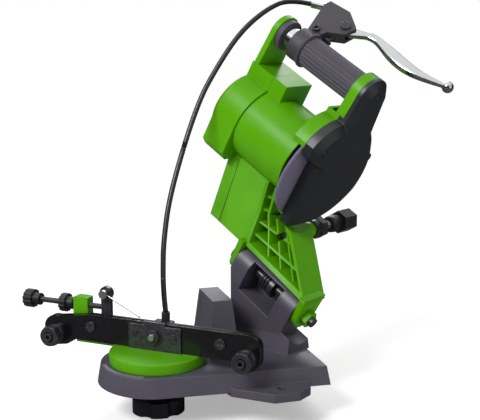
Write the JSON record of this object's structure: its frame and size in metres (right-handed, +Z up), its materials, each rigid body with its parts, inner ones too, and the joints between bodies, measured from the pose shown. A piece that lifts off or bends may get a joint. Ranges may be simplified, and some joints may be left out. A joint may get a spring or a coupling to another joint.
{
  "type": "electric chainsaw sharpener",
  "caption": "Bench-mounted electric chainsaw chain sharpener: tilting motor head with guarded grinding wheel and brake-lever handle, over a swivelling chain vise.",
  "frame": {"origin": "midway between the two foot bolt holes, at the underside of the feet (the bench face)", "axes": "+X right along the bench edge, +Y to the rear over the bench, +Z up"},
  "size_m": [0.2105, 0.3868, 0.3825],
  "materials": {
    "base_paint": "satin dark grey powder coat",
    "green_plastic": "glossy green moulded plastic",
    "black_plastic": "satin black moulded plastic",
    "black_steel": "semi-gloss black enamel on pressed steel",
    "zinc_steel": "bright zinc plate",
    "plate_steel": "dull brushed plate",
    "knob_mix": "black knurled knob on a steel screw",
    "chrome": "polished chrome plate",
    "polished_alloy": "polished aluminium",
    "grip_rubber": "ribbed soft grip",
    "cable_sheath": "black extruded sheath",
    "abrasive": "vitrified grey abrasive",
    "copper_wound": "lacquered copper winding"
  },
  "bodies": {
    "base": {"base_casting": "base_paint", "torsion_spring": "zinc_steel"},
    "vise": {"turntable": "green_plastic", "pivot_stud": "zinc_steel", "front_rail": "black_steel", "end_bolts": "zinc_steel", "end_nuts": "zinc_steel", "centre_plate": "plate_steel", "plate_screws": "zinc_steel", "clamp_stud": "zinc_steel", "clamp_nut": "zinc_steel", "cable_anchor": "zinc_steel", "stop_block": "green_plastic", "cable_lower": "cable_sheath"},
    "jaw": {"clamp_jaw": "black_steel"},
    "lock_knob": {"lock_knob": "black_plastic", "pad_washer": "zinc_steel"},
    "stop_carriage": {"stop_arm": "zinc_steel", "stop_pivot_screw": "zinc_steel"},
    "stop_screw": {"stop_screw": "knob_mix"},
    "stop_lock": {"stop_lock_knob": "black_plastic"},
    "stop_finger": {"stop_finger": "zinc_steel"},
    "head": {"arm": "green_plastic", "motor_housing": "green_plastic", "end_cover": "green_plastic", "guard_back": "green_plastic", "guard_cover": "black_plastic", "handle_tube": "chrome", "handle_collar": "chrome", "grip": "grip_rubber", "cable_adjuster": "chrome", "clamp_bolt": "zinc_steel", "lever_pivot_screw": "zinc_steel", "reach_screw": "zinc_steel", "lever_bracket": "black_plastic", "stator": "zinc_steel", "front_bearing": "zinc_steel", "rear_bearing": "zinc_steel", "bearing_carrier": "black_plastic", "brush_holders": "black_plastic", "switch_bezel": "black_plastic", "mains_gland": "black_plastic", "cover_screws": "zinc_steel", "depth_nuts": "zinc_steel", "hinge_pin": "zinc_steel", "hinge_nut": "zinc_steel", "spring_collar": "zinc_steel", "cable_upper": "cable_sheath"},
    "wheel": {"motor_shaft": "zinc_steel", "armature": "copper_wound", "cooling_fan": "black_plastic", "inner_flange": "zinc_steel", "outer_flange": "zinc_steel", "wheel_nut": "zinc_steel", "grinding_wheel": "abrasive"},
    "lever": {"brake_lever": "polished_alloy"},
    "depth": {"depth_screw": "zinc_steel"},
    "switch": {"switch_rocker": "black_plastic"}
  },
  "joints": [
    {"name": "head_swing", "type": "hinge", "parent": "base", "child": "head", "pos_m": [-0.02131, 0.02057, 0.08061], "axis": [0.7344, 0.4589, -0.5], "range_deg": [0, 97], "stiffness_Nm_per_rad": 1.2, "springref_deg": -17.19, "deforming": ["cable_lower", "cable_upper"]},
    {"name": "vise_turn", "type": "hinge", "parent": "base", "child": "vise", "pos_m": [0, -0.097, 0.0205], "axis": [0, 0, 1], "range_deg": [-40, 10]},
    {"name": "jaw_slide", "type": "slide", "parent": "vise", "child": "jaw", "axis": [0.766, -0.6428, 0], "range_m": [0, 0.00088]},
    {"name": "lock_knob_turn", "type": "hinge", "parent": "vise", "child": "lock_knob", "pos_m": [0, -0.097, -0.02], "axis": [0, 0, 1], "range_deg": [0, 330]},
    {"name": "stop_slide", "type": "slide", "parent": "vise", "child": "stop_carriage", "axis": [0.6428, 0.766, 0], "range_m": [-0.012, 0.008]},
    {"name": "stop_screw_turn", "type": "hinge", "parent": "stop_carriage", "child": "stop_screw", "pos_m": [-0.07079, -0.16814, 0.0625], "axis": [0.6428, 0.766, 0], "range_deg": [-5410, 3610]},
    {"name": "stop_lock_turn", "type": "hinge", "parent": "vise", "child": "stop_lock", "pos_m": [-0.07079, -0.16814, 0.0625], "axis": [0.6428, 0.766, 0], "range_deg": [0, 180]},
    {"name": "finger_lift", "type": "hinge", "parent": "stop_carriage", "child": "stop_finger", "pos_m": [-0.04027, -0.13892, 0.077], "axis": [0.766, -0.6428, 0], "range_deg": [0, 42]},
    {"name": "wheel_spin", "type": "hinge", "parent": "head", "child": "wheel", "pos_m": [-0.01456, 0.06547, 0.19174], "axis": [0.7344, 0.4589, -0.5], "continuous": true},
    {"name": "lever_pull", "type": "hinge", "parent": "head", "child": "lever", "pos_m": [-0.03482, 0.10058, 0.3222], "axis": [-0.6322, 0.1946, -0.75], "range_deg": [0, 13], "stiffness_Nm_per_rad": 1.5, "springref_deg": -11.46},
    {"name": "depth_slide", "type": "slide", "parent": "head", "child": "depth", "axis": [0.5299, -0.848, 0], "range_m": [-0.015, 0.012]},
    {"name": "switch_rock", "type": "hinge", "parent": "head", "child": "switch", "pos_m": [-0.10835, 0.02574, 0.24751], "axis": [-0.5299, 0.848, 0], "range_deg": [0, 14]}
  ],
  "couplings": [
    {"joint": "stop_screw_turn", "follows": "stop_slide", "rad_per_m": 7854},
    {"joint": "lever_pull", "follows": "jaw_slide", "rad_per_m": 256.41}
  ]
}
